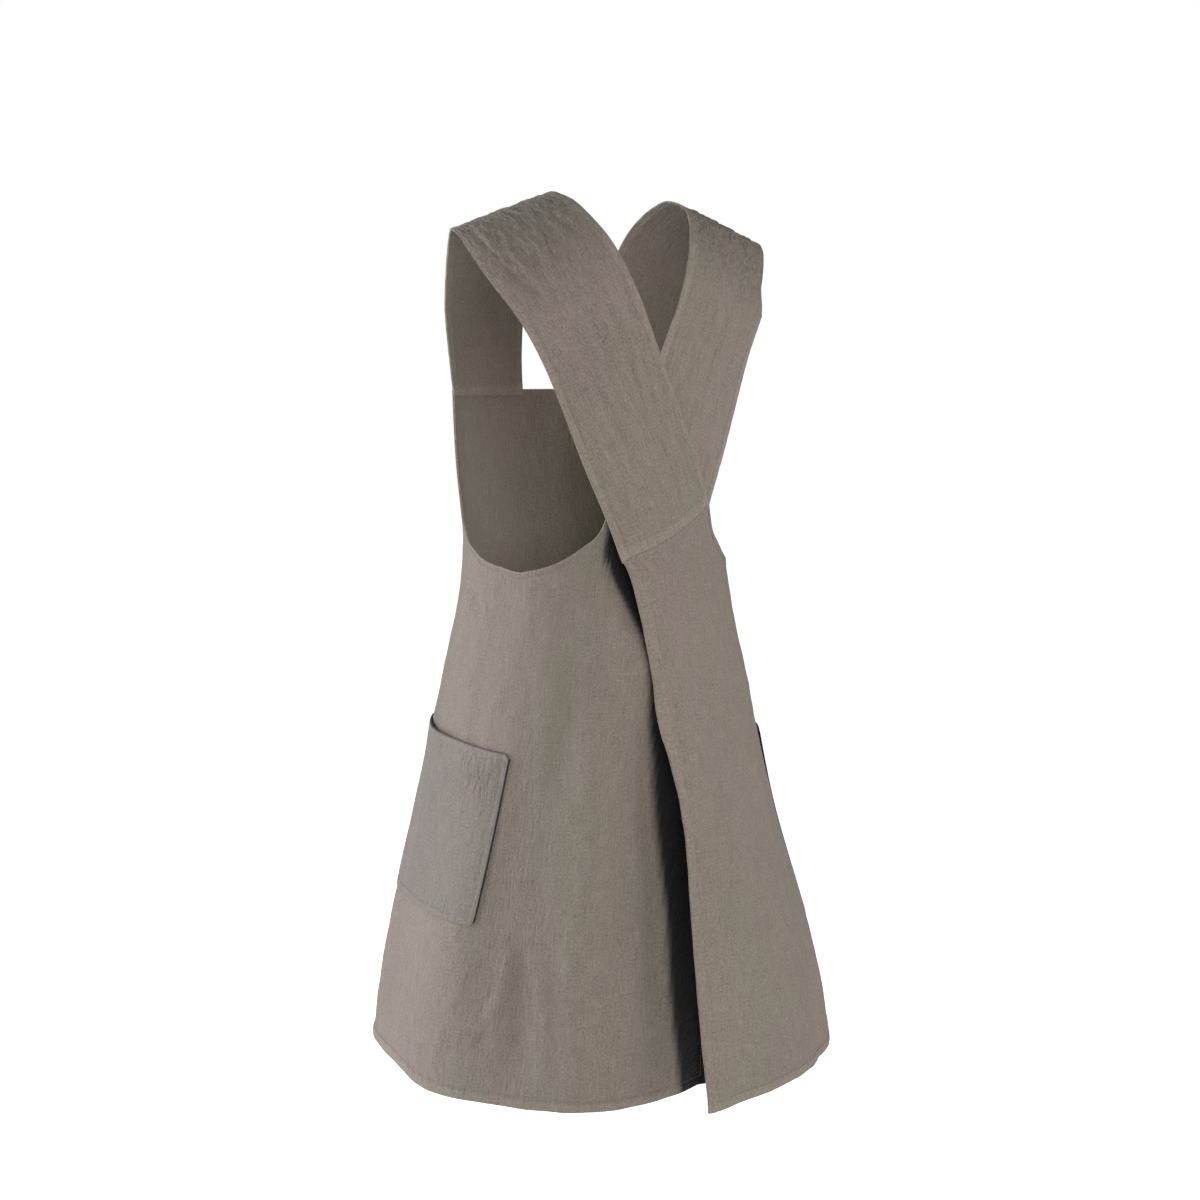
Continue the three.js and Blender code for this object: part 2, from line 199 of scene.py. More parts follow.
bibTurn = 180 - turnOfSide(form["bibHalfWidth"], form["bibDrop"])
leftSeamTurn = turnOfSide(form["seamInnerReach"] - form["crossShift"], form["seamInnerDrop"])
rightSeamTurn = 360 + turnOfSide(-form["seamInnerReach"] - form["crossShift"], form["seamInnerDrop"])
corners = {
    "leftSeam": float(wayRound(leftSeamTurn, form["seamInnerDrop"])),
    "leftBib": float(wayRound(bibTurn, form["bibDrop"])),
    "rightBib": float(wayRound(360 - bibTurn, form["bibDrop"])),
    "rightSeam": float(wayRound(rightSeamTurn, form["seamInnerDrop"])),
}


def armholeAt(along):
    fall = readTable(armhole, "along", "fall", along)
    rim = np.where(along < 0.36, form["seamInnerDrop"], form["bibDrop"])
    return lerp(rim, form["armholeDrop"], fall)


def topDrop(way):
    leftSeam, leftBib, rightBib, rightSeam = corners.values()
    inner, outer = form["seamInnerDrop"], form["seamOuterDrop"]
    drop = np.full(np.shape(way), form["bibDrop"])
    drop = np.where(way < leftBib, armholeAt((way - leftSeam) / (leftBib - leftSeam)), drop)
    drop = np.where(way > rightBib, armholeAt((rightSeam - way) / (rightSeam - rightBib)), drop)
    drop = np.where(way <= leftSeam, lerp(outer, inner, way / leftSeam), drop)
    return np.where(way >= rightSeam, lerp(inner, outer, (way - rightSeam) / (1 - rightSeam)), drop)


def hemDrop(way):
    turn = np.radians(way * 360)
    return form["bodyDrop"] + form["hemDip"] * np.cos(turn) - form["hemLean"] * np.sin(turn)


# The right panel stands off over the left one, which curls in under it.
def lapOffset(turn, drop):
    size = edgeShare(drop)
    reach = np.radians(1) * sectionAt(drop)[0] / form["lapSpread"]
    fromRight = (rightEdgeTurn(drop) - turn) * reach
    fromLeft = (turn - leftEdgeTurn(drop)) * reach
    lift = lerp(form["lapTopClear"], form["lapLift"], size) * (1 - np.clip(fromRight, 0, 1)) ** 2
    dip = lerp(form["lapTopClear"], form["lapDip"], size) * (1 - np.clip(fromLeft, 0, 1)) ** 2
    return lift - dip


# The lap by drop: how its free edge wanders, how the left panel dips and tucks under it, and how
# wide its strip of painted shade is
lapEdge = {
    "drop": [0.38, 0.43, 0.475, 0.50, 0.54, 0.57, 0.60, 0.63, 0.66, 0.71, 0.80, 0.90, 1.00],
    "wander": [0.0, 0.0, 0.2, 0.1, 0.0, -0.4, -0.2, 0.7, 1.4, 1.9, 0.4, -0.7, -1.0],
    "depth": [0.000, 0.006, 0.000, -0.008, -0.012, -0.011, -0.006, 0.000, 0.006, 0.013, 0.008, 0.002, 0.000],
    "shadow": [0.0150, 0.0110, 0.0030, 0.0000, -0.0010, 0.0000, 0.0015, 0.0030, 0.0055, 0.0070,
               0.0015, 0.0005, -0.0030],
    "tuck": [0.0, 0.0, 0.0, 0.0, 0.3, 0.6, 1.2, 2.0, 3.0, 4.5, 6.0, 7.5, 8.5],
}


def lapAt(column, drop):
    return readTable(lapEdge, "drop", column, drop / form["bodyDrop"])


def pastLap(turn, drop):
    edge = rightEdgeTurn(drop) - lapAt("wander", drop)
    return (turn + 360 - edge) * np.radians(1) * sectionAt(drop)[0]


def lapDip(turn, drop):
    fromEdge = np.where(turn < 180, pastLap(turn, drop), 1)
    return lapAt("depth", drop) * bell(fromEdge, np.where(fromEdge > 0, form["dipShort"], form["dipLong"]))


# Only the hidden strip of the left panel is tucked further round.
def bodyTurn(way, drop):
    start, end = leftEdgeTurn(drop), rightEdgeTurn(drop)
    hidden = np.maximum((end - 360 - start) / (end - start), 0.012)
    tuck = lapAt("tuck", drop) * (1 - np.clip(way / hidden, 0, 1)) ** 2
    wander = lapAt("wander", drop) * ease((way - form["wanderFrom"]) / (1 - form["wanderFrom"]))
    return lerp(start, end, way) - tuck - wander


def bodyAt(way, drop):
    turn = bodyTurn(way, drop)
    return bodySkin(turn, drop, lapOffset(turn, drop) - lapDip(turn, drop))


# Even, repeatable noise between about -1 and 1
noiseCells = 128


def softNoise(x, y, seed):
    angle = np.random.default_rng(seed).random((noiseCells, noiseCells)) * 2 * np.pi
    cellX = np.floor(x).astype(int)
    cellY = np.floor(y).astype(int)
    fromX = x - cellX
    fromY = y - cellY

    def corner(stepX, stepY):
        at = angle[(cellX + stepX) % noiseCells, (cellY + stepY) % noiseCells]
        return np.cos(at) * (fromX - stepX) + np.sin(at) * (fromY - stepY)

    fadeX = fromX ** 3 * (fromX * (fromX * 6 - 15) + 10)
    fadeY = fromY ** 3 * (fromY * (fromY * 6 - 15) + 10)
    near = lerp(corner(0, 0), corner(1, 0), fadeX)
    far = lerp(corner(0, 1), corner(1, 1), fadeX)
    return lerp(near, far, fadeY) * 1.5


# Single creases, each a soft line: its middle, length, lean in degrees, width and height
def creaseRelief(x, y, creases):
    height = 0 * x
    for midX, midY, length, lean, width, rise in creases:
        turnedX = (x - midX) * math.cos(math.radians(lean)) + (y - midY) * math.sin(math.radians(lean))
        turnedY = (y - midY) * math.cos(math.radians(lean)) - (x - midX) * math.sin(math.radians(lean))
        bow = turnedX + 0.06 * length * np.cos(turnedY / length * 3)
        height = height + rise * bell(bow, width) * ease(1.4 - np.abs(turnedY) / length * 2.6)
    return height


def outwardNormals(grid):
    normal = np.cross(np.gradient(grid, axis=1), np.gradient(grid, axis=0))
    return normal / np.linalg.norm(normal, axis=-1, keepdims=True)


def pressedOut(grid, height):
    return grid + outwardNormals(grid) * height[..., None]


def selectOnly(piece):
    bpy.ops.object.select_all(action="DESELECT")
    piece.select_set(True)
    bpy.context.view_layer.objects.active = piece


def applyModifiers(piece):
    selectOnly(piece)
    for modifier in list(piece.modifiers):
        bpy.ops.object.modifier_apply(modifier=modifier.name)


def vertexPlaces(mesh):
    places = np.zeros(len(mesh.vertices) * 3)
    mesh.vertices.foreach_get("co", places)
    return places.reshape(-1, 3)


# A cloth: a flat grid laid on its places, given a wall, with its own flat pattern in metres.
def makeCloth(name, grid, flat, turned, marks, cloth):
    rows, columns = grid.shape[:2]
    bpy.ops.object.select_all(action="DESELECT")
    bpy.ops.mesh.primitive_grid_add(x_subdivisions=columns - 1, y_subdivisions=rows - 1, size=1)
    piece = bpy.context.active_object
    piece.name = name
    mesh = piece.data
    mesh.name = name
    start = vertexPlaces(mesh)
    column = np.rint((start[:, 0] + 0.5) * (columns - 1)).astype(int)
    row = np.rint((start[:, 1] + 0.5) * (rows - 1)).astype(int)
    mesh.vertices.foreach_set("co", grid[row, column].ravel())
    for layer in list(mesh.uv_layers):
        mesh.uv_layers.remove(layer)
    pattern = mesh.uv_layers.new(name="cloth")
    corner = np.zeros(len(mesh.loops), int)
    mesh.loops.foreach_get("vertex_index", corner)
    pattern.data.foreach_set("uv", flat[row, column][corner].ravel())
    for mark, values in marks.items():
        layer = mesh.attributes.new(name=mark, type="FLOAT", domain="POINT")
        layer.data.foreach_set("value", values[row, column].astype(np.float32))
    hem = piece.vertex_groups.new(name="turned")
    weights = turned[row, column]
    for weight in np.unique(np.round(weights, 2)):
        members = np.nonzero(np.abs(weights - weight) < 0.006)[0]
        hem.add([int(index) for index in members], float(weight), "REPLACE")
    mesh.update()
    wall = piece.modifiers.new("wall", "SOLIDIFY")
    wall.thickness = cloth["hemWall"]
    wall.offset = 0
    wall.vertex_group = "turned"
    wall.thickness_vertex_group = cloth["wall"] / cloth["hemWall"]
    wall.use_quality_normals = True
    rounding = piece.modifiers.new("rounding", "BEVEL")
    rounding.width = cloth["wall"] * 0.3
    rounding.segments = 2
    rounding.limit_method = "ANGLE"
    rounding.angle_limit = math.radians(60)
    applyModifiers(piece)
    bpy.ops.object.shade_smooth()
    piece.vertex_groups.clear()
    return piece


# One thread stitch, modelled once: a short bead that dips into the cloth at both ends
stitching = {"length": 0.0025, "pitch": 0.0033, "width": 0.00062, "rise": 0.00016}

bpy.ops.object.select_all(action="DESELECT")
bpy.ops.mesh.primitive_cylinder_add(vertices=6, radius=0.5, depth=0.5, rotation=(0, math.pi / 2, 0))
stitch = bpy.context.active_object
bpy.ops.object.transform_apply(location=True, rotation=True, scale=True)
bpy.ops.object.mode_set(mode="EDIT")
bpy.ops.mesh.select_mode(type="FACE")
bpy.ops.mesh.select_all(action="DESELECT")
bpy.ops.object.mode_set(mode="OBJECT")
for face in stitch.data.polygons:
    face.select = abs(face.normal.x) > 0.9
bpy.ops.object.mode_set(mode="EDIT")
bpy.ops.mesh.extrude_faces_move(TRANSFORM_OT_shrink_fatten={"value": 0.25})
bpy.ops.transform.resize(value=(1, 0.35, 0.35))
bpy.ops.object.mode_set(mode="OBJECT")
stitchShape = vertexPlaces(stitch.data)
stitchShape[:, 2] -= 0.55 * (np.abs(stitchShape[:, 0]) * 2) ** 3
stitchFaces = [tuple(face.vertices) for face in stitch.data.polygons]
bpy.data.objects.remove(stitch)
print("one stitch modelled")


def pointAlong(values, reached, at):
    return np.array([np.interp(at, reached, values[:, axis]) for axis in range(3)])


# Rows of stitches along paths of places, each with the cloth's outward direction
def makeStitches(name, paths, material):
    places = []
    faces = []
    for path, normals in paths:
        steps = np.linalg.norm(np.diff(path, axis=0), axis=1)
        reached = np.concatenate([[0], np.cumsum(steps)])
        count = max(int(reached[-1] / stitching["pitch"]), 1)
        for k in range(count):
            middle = (k + 0.5) * reached[-1] / count
            start = pointAlong(path, reached, middle - stitching["length"] / 2)
            end = pointAlong(path, reached, middle + stitching["length"] / 2)
            normal = pointAlong(normals, reached, middle)
            along = (end - start) / np.linalg.norm(end - start)
            normal = normal - along * normal.dot(along)
            normal = normal / np.linalg.norm(normal)
            side = np.cross(normal, along)
            centre = (start + end) / 2 + normal * stitching["rise"]
            first = len(places) * len(stitchShape)
            shape = stitchShape[:, :1] * along * stitching["length"]
            shape = shape + stitchShape[:, 1:2] * side * stitching["width"]
            places.append(centre + shape + stitchShape[:, 2:] * normal * stitching["width"])
            faces.extend(tuple(index + first for index in face) for face in stitchFaces)
    mesh = bpy.data.meshes.new(name)
    mesh.from_pydata(np.concatenate(places).tolist(), [], faces)
    mesh.update()
    piece = bpy.data.objects.new(name, mesh)
    bpy.context.scene.collection.objects.link(piece)
    mesh.materials.append(material)
    selectOnly(piece)
    bpy.ops.object.shade_smooth()
    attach(piece, "root")
    return piece


# Materials: plain-woven linen read off each cloth's own flat pattern, in metres
def addNode(tree, kind, **settings):
    node = tree.nodes.new(kind)
    for setting, value in settings.items():
        setattr(node, setting, value)
    return node


def mathNode(tree, operation, *inputs):
    node = addNode(tree, "ShaderNodeMath", operation=operation)
    for index, value in enumerate(inputs):
        if isinstance(value, (int, float)):
            node.inputs[index].default_value = value
        else:
            tree.links.new(value, node.inputs[index])
    return node.outputs[0]


def colourNode(tree, factor, first, second, blend="MIX"):
    node = addNode(tree, "ShaderNodeMix", data_type="RGBA", blend_type=blend)
    colours = [socket for socket in node.inputs if socket.type == "RGBA"]
    for socket, value in zip([node.inputs["Factor"], *colours], (factor, first, second)):
        if isinstance(value, tuple):
            socket.default_value = (*value, 1)
        elif isinstance(value, (int, float)):
            socket.default_value = value
        else:
            tree.links.new(value, socket)
    return [socket for socket in node.outputs if socket.type == "RGBA"][0]


def noiseNode(tree, pattern, scale, detail, roughness=0.5):
    stretch = addNode(tree, "ShaderNodeMapping")
    stretch.inputs["Scale"].default_value = scale
    tree.links.new(pattern, stretch.inputs["Vector"])
    noise = addNode(tree, "ShaderNodeTexNoise", noise_dimensions="2D")
    noise.inputs["Scale"].default_value = 1
    noise.inputs["Detail"].default_value = detail
    noise.inputs["Roughness"].default_value = roughness
    tree.links.new(stretch.outputs[0], noise.inputs["Vector"])
    return mathNode(tree, "SUBTRACT", noise.outputs[0], 0.5)


def sumNodes(tree, terms):
    total = None
    for value, weight in terms:
        part = mathNode(tree, "MULTIPLY", value, weight)
        total = part if total is None else mathNode(tree, "ADD", total, part)
    return total


def newMaterial(name):
    material = bpy.data.materials.new(name)
    material.use_nodes = True
    return material, material.node_tree, material.node_tree.nodes["Principled BSDF"]


def linenMaterial(name, finish):
    material, tree, shader = newMaterial(name)
    pattern = addNode(tree, "ShaderNodeUVMap", uv_map="cloth").outputs[0]
    split = addNode(tree, "ShaderNodeSeparateXYZ")
    tree.links.new(pattern, split.inputs[0])
    threads = [mathNode(tree, "MULTIPLY", split.outputs[axis], 1 / finish["threadPitch"]) for axis in (0, 1)]
    waves = [mathNode(tree, "SINE", mathNode(tree, "MULTIPLY", turns, math.pi)) for turns in threads]
    humps = [mathNode(tree, "ABSOLUTE", wave) for wave in waves]
    checker = addNode(tree, "ShaderNodeTexChecker")
    checker.inputs["Scale"].default_value = 1 / finish["threadPitch"]
    tree.links.new(pattern, checker.inputs["Vector"])
    over = mathNode(tree, "MULTIPLY", humps[0], checker.outputs["Fac"])
    under = mathNode(tree, "MULTIPLY", humps[1], mathNode(tree, "SUBTRACT", 1, checker.outputs["Fac"]))
    weave = mathNode(tree, "ADD", over, under)
    warp = noiseNode(tree, pattern, (1150, 38, 1), 2)
    weft = noiseNode(tree, pattern, (34, 1150, 1), 2)
    fleck = noiseNode(tree, pattern, (430, 430, 1), 2, 0.6)
    mottle = noiseNode(tree, pattern, (95, 80, 1), 3)
    patch = noiseNode(tree, pattern, (13, 7, 1), 2)
    crumple = noiseNode(tree, pattern, (62, 48, 1), 4, 0.55)
    puckers = []
    for mark, scale in (("hemPucker", (150, 55, 1)), ("edgePucker", (55, 150, 1))):
        mask = addNode(tree, "ShaderNodeAttribute", attribute_name=mark).outputs["Fac"]
        puckers.append(mathNode(tree, "MULTIPLY", mask, noiseNode(tree, pattern, scale, 2)))
    creaseMask = addNode(tree, "ShaderNodeAttribute", attribute_name="crinkle").outputs["Fac"]
    crinkle = mathNode(tree, "MULTIPLY", creaseMask, noiseNode(tree, pattern, (260, 90, 1), 3, 0.6))
    height = sumNodes(tree, [
        (weave, finish["weaveHeight"]),
        (warp, finish["slubHeight"]),
        (weft, finish["slubHeight"]),
        (fleck, finish["fleckHeight"]),
        (crumple, finish["crumpleHeight"]),
        (puckers[0], finish["puckerHeight"]),
        (puckers[1], finish["puckerHeight"]),
        (crinkle, finish["crinkleHeight"]),
    ])
    bump = addNode(tree, "ShaderNodeBump")
    bump.inputs["Distance"].default_value = 1
    bump.inputs["Strength"].default_value = 1
    tree.links.new(height, bump.inputs["Height"])
    tree.links.new(bump.outputs[0], shader.inputs["Normal"])
    tone = sumNodes(tree, [
        (mathNode(tree, "SUBTRACT", weave, 0.6), finish["weaveTone"]),
        (warp, finish["slubTone"]),
        (weft, finish["slubTone"] * 0.5),
        (fleck, finish["fleckTone"]),
        (mottle, finish["mottleTone"]),
        (patch, finish["patchTone"]),
    ])
    worn = addNode(tree, "ShaderNodeAttribute", attribute_name="worn").outputs["Fac"]
    tone = mathNode(tree, "ADD", tone, mathNode(tree, "MULTIPLY", worn, finish["wearTone"]))
    cloth = colourNode(tree, mathNode(tree, "ADD", tone, 0.5), finish["darkColour"], finish["lightColour"])
    cast = noiseNode(tree, pattern, (9, 3.5, 1), 2)
    swing = mathNode(tree, "MULTIPLY_ADD", cast, 1.8, 0.5)
    hue = colourNode(tree, swing, finish["greenCast"], finish["roseCast"])
    cloth = colourNode(tree, 1, cloth, hue, "MULTIPLY")
    # Painted shade: this mark mixes the cloth colour towards near-black under the lap's free edge and along
    # the pocket rims
    paintedShade = addNode(tree, "ShaderNodeAttribute", attribute_name="paintedShade").outputs["Fac"]
    tree.links.new(colourNode(tree, paintedShade, cloth, finish["paintedShadeColour"]), shader.inputs["Base Color"])
    roughness = mathNode(tree, "MULTIPLY", mottle, finish["roughnessSpread"])
    tree.links.new(mathNode(tree, "ADD", roughness, finish["roughness"]), shader.inputs["Roughness"])
    shader.inputs["Specular IOR Level"].default_value = finish["gloss"]
    shader.inputs["Sheen Weight"].default_value = finish["sheen"]
    shader.inputs["Sheen Roughness"].default_value = finish["sheenRoughness"]
    return material


linenFinish = {
    "darkColour": (0.176, 0.151, 0.121),
    "lightColour": (0.330, 0.288, 0.236),
    "paintedShadeColour": (0.0025, 0.002, 0.002),  # painted shade under the lap and at the pocket rims
    "greenCast": (0.955, 1.02, 0.965),
    "roseCast": (1.045, 0.985, 1.02),
    "threadPitch": 0.0008,
    "weaveHeight": 0.00010,
    "slubHeight": 0.00022,
    "fleckHeight": 0.00090,
    "crumpleHeight": 0.0021,
    "puckerHeight": 0.0026,
    "crinkleHeight": 0.0060,
    "weaveTone": 0.10,
    "slubTone": 0.85,
    "fleckTone": 1.30,
    "mottleTone": 0.30,
    "patchTone": 0.26,
    "wearTone": 0.22,
    "roughness": 0.86,
    "roughnessSpread": 0.12,
    "sheen": 0.12,
    "sheenRoughness": 0.6,
    "gloss": 0.25,
}
strapTones = {"darkColour": (0.175, 0.149, 0.120), "lightColour": (0.331, 0.286, 0.235)}
pocketTones = {"darkColour": (0.158, 0.139, 0.115), "lightColour": (0.292, 0.263, 0.223)}
linen = linenMaterial("linen", linenFinish)
strapLinen = linenMaterial("strapLinen", {**linenFinish, **strapTones})
pocketLinen = linenMaterial("pocketLinen", {**linenFinish, **pocketTones})


def threadMaterial(name, finish):
    material, tree, shader = newMaterial(name)
    place = addNode(tree, "ShaderNodeTexCoord").outputs["Object"]
    grain = noiseNode(tree, place, (finish["grain"],) * 3, 2)
    ramp = addNode(tree, "ShaderNodeValToRGB")
    ramp.color_ramp.elements[0].color = (*finish["darkColour"], 1)
    ramp.color_ramp.elements[1].color = (*finish["lightColour"], 1)
    tree.links.new(mathNode(tree, "ADD", grain, 0.5), ramp.inputs["Fac"])
    tree.links.new(ramp.outputs["Color"], shader.inputs["Base Color"])
    bump = addNode(tree, "ShaderNodeBump")
    bump.inputs["Distance"].default_value = finish["grainHeight"]
    tree.links.new(grain, bump.inputs["Height"])
    tree.links.new(bump.outputs[0], shader.inputs["Normal"])
    shader.inputs["Roughness"].default_value = finish["roughness"]
    shader.inputs["Sheen Weight"].default_value = finish["sheen"]
    return material


threadFinish = {
    "darkColour": (0.20, 0.172, 0.142),
    "lightColour": (0.36, 0.315, 0.268),
    "grain": 1800,
    "grainHeight": 0.0001,
    "roughness": 0.6,
    "sheen": 0.2,
}
thread = threadMaterial("linenThread", threadFinish)
print("materials made")

# Body panel: bib, skirt and the two back panels, in one cloth
bodyCloth = {
    "wall": 0.0013,
    "hemWall": 0.0025,
    "hemHeight": 0.010,
    "edgeHem": 0.008,
    "topHem": 0.006,
    "patternWidth": 1.35,
    "columns": [30, 76, 70, 76, 30],
    "rows": 112,
    "drapeHeight": 0.0026,
    "crumpleHeight": 0.0005,
    "mirrorTurn": 245,
    "pocketCalm": 0.85,
    "grooveDepth": 0.0005,
    "hemRoll": 0.0006,
    "edgeRoll": 0.0004,
    "edgeWave": 0.0012,
    "baseCrinkle": 0.22,
    "pocketCrinkle": 0.8,
    "topCrinkle": 0.15,
    "hemWear": 0.75,
    "edgeWear": 0.4,
    "topWear": 0.3,
}
# Folds and creases of the panels: turn, drop, length, lean, width, height
bodyCreases = [
    (52.7, 0.815, 0.075, -50, 0.0042, -0.0022),
    (55.5, 0.826, 0.070, -46, 0.0040, 0.0013),
    (49.0, 0.806, 0.060, -56, 0.0040, 0.0011),
    (50.7, 0.899, 0.050, -38, 0.0030, -0.0022),
    (53.5, 0.905, 0.060, -42, 0.0040, 0.0013),
    (37.2, 0.839, 0.040, 45, 0.0036, -0.0014),
    (57.5, 0.925, 0.048, 0, 0.0040, -0.0012),
    (61.0, 0.800, 0.036, -14, 0.0032, -0.0013),
    (57.0, 0.802, 0.034, 10, 0.0030, -0.0011),
    (65.0, 0.806, 0.036, -30, 0.0034, 0.0011),
    (41.2, 0.880, 0.200, 4, 0.0150, -0.0042),
    (34.0, 0.900, 0.180, 2, 0.0110, 0.0026),
    (27.5, 0.870, 0.260, 1, 0.0180, 0.0036),
    (47.5, 0.860, 0.120, -18, 0.0090, 0.0022),
    (66.0, 0.900, 0.150, -24, 0.0100, 0.0016),
    (82.0, 0.452, 0.065, 42, 0.0040, -0.0020),
    (86.0, 0.462, 0.080, 40, 0.0050, 0.0014),
    (95.0, 0.470, 0.090, -4, 0.0060, 0.0012),
    (12.3, 0.465, 0.110, 0, 0.0100, 0.0024),
    (32.0, 0.530, 0.260, 1, 0.0220, -0.0048),
    (23.0, 0.700, 0.300, -1, 0.0200, 0.0050),
    (14.0, 0.780, 0.240, -2, 0.0120, -0.0022),
    (60.0, 0.520, 0.150, -5, 0.0110, 0.0016),
    (46.0, 0.640, 0.150, -4, 0.0080, 0.0014),
    (0.7, 0.482, 0.110, 9, 0.0040, -0.0014),
    (3.0, 0.490, 0.110, 8, 0.0050, 0.0012),
    (-2.0, 0.560, 0.070, 0, 0.0032, -0.0024),
    (-2.7, 0.620, 0.090, 4, 0.0038, -0.0016),
    (-5.5, 0.590, 0.120, 2, 0.0050, 0.0013),
    (-16.0, 0.700, 0.260, -2, 0.0110, 0.0020),
    (-27.0, 0.640, 0.240, 3, 0.0100, -0.0020),
    (-36.0, 0.840, 0.220, 2, 0.0120, 0.0022),
]


def evenSteps(start, end, count):
    return [lerp(start, end, k / count) for k in range(count)]


def makeBody():
    hem, edge, top = bodyCloth["hemHeight"], bodyCloth["edgeHem"], bodyCloth["topHem"]
    edgeSteps = [0, 0.0012, 0.003, 0.0055, edge - 0.0012, edge, edge + 0.0012, edge + 0.004]
    topSteps = [0, 0.001, 0.0025, 0.0045, top, top + 0.0015, top + 0.004]
    hemSteps = [hem + 0.004, hem + 0.0015, hem, hem - 0.0015, hem - 0.004, 0.0035, 0.0015, 0]
    counts = bodyCloth["columns"]
    perimeter = 2 * math.pi * form["hemHalfWidth"]
    stops = [edgeSteps[-1] / perimeter, *corners.values(), 1 - edgeSteps[-1] / perimeter]
    ways = [step / perimeter for step in edgeSteps[:-1]]
    for start, end, count in zip(stops, stops[1:], counts):
        ways.extend(evenSteps(start, end, count))
    ways.extend(1 - step / perimeter for step in reversed(edgeSteps))
    nominal = np.array(ways)
    inShares = evenSteps(0, 1, bodyCloth["rows"])[1:]
    rowCount = len(topSteps) + len(inShares) + len(hemSteps)

    # Near a free edge the columns keep their distance from it at every level.
    way = np.tile(nominal, (rowCount, 1))
    for _ in range(3):
        upper = topDrop(way)
        lower = hemDrop(way)
        drop = np.zeros_like(way)
        for k, step in enumerate(topSteps):
            drop[k] = upper[k] + step
        for k, share in enumerate(inShares):
            row = k + len(topSteps)
            drop[row] = lerp(upper[row] + topSteps[-1], lower[row] - hemSteps[0], share)
        for k, step in enumerate(hemSteps):
            row = rowCount - len(hemSteps) + k
            drop[row] = lower[row] - step
        half, middle, back, front = sectionAt(drop)
        around = math.pi * (half + (back + front) / 2) * 1.04
        for k, step in enumerate(edgeSteps):
            way[:, k] = step / around[:, k]
            way[:, -1 - k] = 1 - step / around[:, -1 - k]
    grid = bodyAt(way, drop)
    turn = bodyTurn(way, drop)
    across = (way - 0.5) * bodyCloth["patternWidth"]
    fromTop = drop - topDrop(way)
    fromHem = hemDrop(way) - drop
    fromEdge = np.minimum(way, 1 - way) * around

    # Slow drape, small crumples and the creases under the pockets
    loose = ease(fromTop / 0.03) * ease(fromEdge / 0.03 + 0.15)
    drape = softNoise(across / 0.060, drop / 0.26, 11) + 0.6 * softNoise(across / 0.031, drop / 0.12, 12)
    crumple = softNoise(across / 0.021 + drop / 0.05, drop / 0.024, 13)
    crumple = crumple + 0.5 * softNoise(across / 0.012, drop / 0.014, 14)
    height = bodyCloth["drapeHeight"] * drape + bodyCloth["crumpleHeight"] * crumple
    for midTurn, midDrop, length, lean, width, rise in bodyCreases:
        for place, leaning in ((midTurn, lean), (bodyCloth["mirrorTurn"] - midTurn, -lean)):
            x = np.radians(turn - place % 360) * sectionAt(drop)[0]
            height = height + creaseRelief(x, drop - midDrop, [(0, 0, length, leaning, width, rise)])
    middle = np.where(turn < 180, form["pocketMiddle"], form["farPocketMiddle"])
    onPocket = ease(1.15 - np.abs(turn - middle) / 32) * ease(1.2 - np.abs(drop - 0.70) / 0.11)
    height = height * (1 - bodyCloth["pocketCalm"] * onPocket)
    grooves = 0.7 * bell(fromHem - hem, 0.0016) + bell(fromEdge - edge, 0.0014)
    grooves = grooves + 0.8 * bell(fromTop - top, 0.0014)
    rolled = bodyCloth["hemRoll"] * bell(fromHem - hem / 2, 0.004)
    rolled = rolled + bodyCloth["edgeRoll"] * bell(fromEdge - edge / 2, 0.003)
    wave = bodyCloth["edgeWave"] * softNoise(drop / 0.03, 0 * drop + 0.5, 15)
    wave = wave * ease(1 - fromEdge / 0.012) * ease(fromTop / 0.03)
    pressed = rolled + wave - bodyCloth["grooveDepth"] * np.clip(grooves, 0, 1)
    grid = pressedOut(grid, height * loose + pressed)

    turned = ((fromHem < hem) | (fromEdge < edge) | (fromTop < top)).astype(float)
    beyond = np.where(turn < 180, pastLap(turn, drop), 1)
    nearPocket = bell(turn - 44, 12) * bell(drop - 0.80, 0.15)
    crinkle = bodyCloth["baseCrinkle"] + bodyCloth["pocketCrinkle"] * nearPocket
    wear = bodyCloth["hemWear"] * ease((hem + 0.001 - fromHem) / 0.002)
    wear = wear + bodyCloth["edgeWear"] * ease((edge + 0.001 - fromEdge) / 0.002)
    marks = {
        # painted shade: a near-black strip of the left panel beside and under the right panel's free edge
        "paintedShade": (1 - ease((beyond - lapAt("shadow", drop) + 0.002) / 0.007)) * ease(fromTop / 0.03),
        "hemPucker": bell(np.maximum(fromHem - hem, 0), 0.008) + 0.5 * bell(fromTop - top, 0.006),
        "edgePucker": bell(np.maximum(fromEdge - edge, 0), 0.007),
        "crinkle": crinkle + bodyCloth["topCrinkle"] * bell(fromTop, 0.05),
        "worn": np.clip(wear + bodyCloth["topWear"] * bell(fromTop, 0.004), 0, 1),
    }
    piece = makeCloth("bodyCloth", grid, np.stack([across, -drop], axis=-1), turned, marks, bodyCloth)
    piece.data.materials.append(linen)
    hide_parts("body_panel")
    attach(piece, "root")

    # Stitch lines along the hem, the free edges and the top edge
    normals = outwardNormals(grid)
    skin = grid + normals * bodyCloth["hemWall"] / 2
    hemRow = rowCount - len(hemSteps) + 2
    topRow = topSteps.index(top)
    edgeColumn = edgeSteps.index(edge)
    seamColumn = [int(np.argmin(np.abs(nominal - corners[name]))) for name in ("leftSeam", "rightSeam")]
    inner = slice(edgeColumn, len(nominal) - edgeColumn)
    topSpan = slice(seamColumn[0], seamColumn[1] + 1)
    lines = [(hemRow, inner), (topRow, topSpan)]
    lines += [(slice(1, hemRow + 1), column) for column in (edgeColumn, len(nominal) - 1 - edgeColumn)]
    paths = [(skin[line], normals[line]) for line in lines]
    makeStitches("bodyStitches", paths, thread)
    return piece


bodyPiece = makeBody()
print("body panel made")

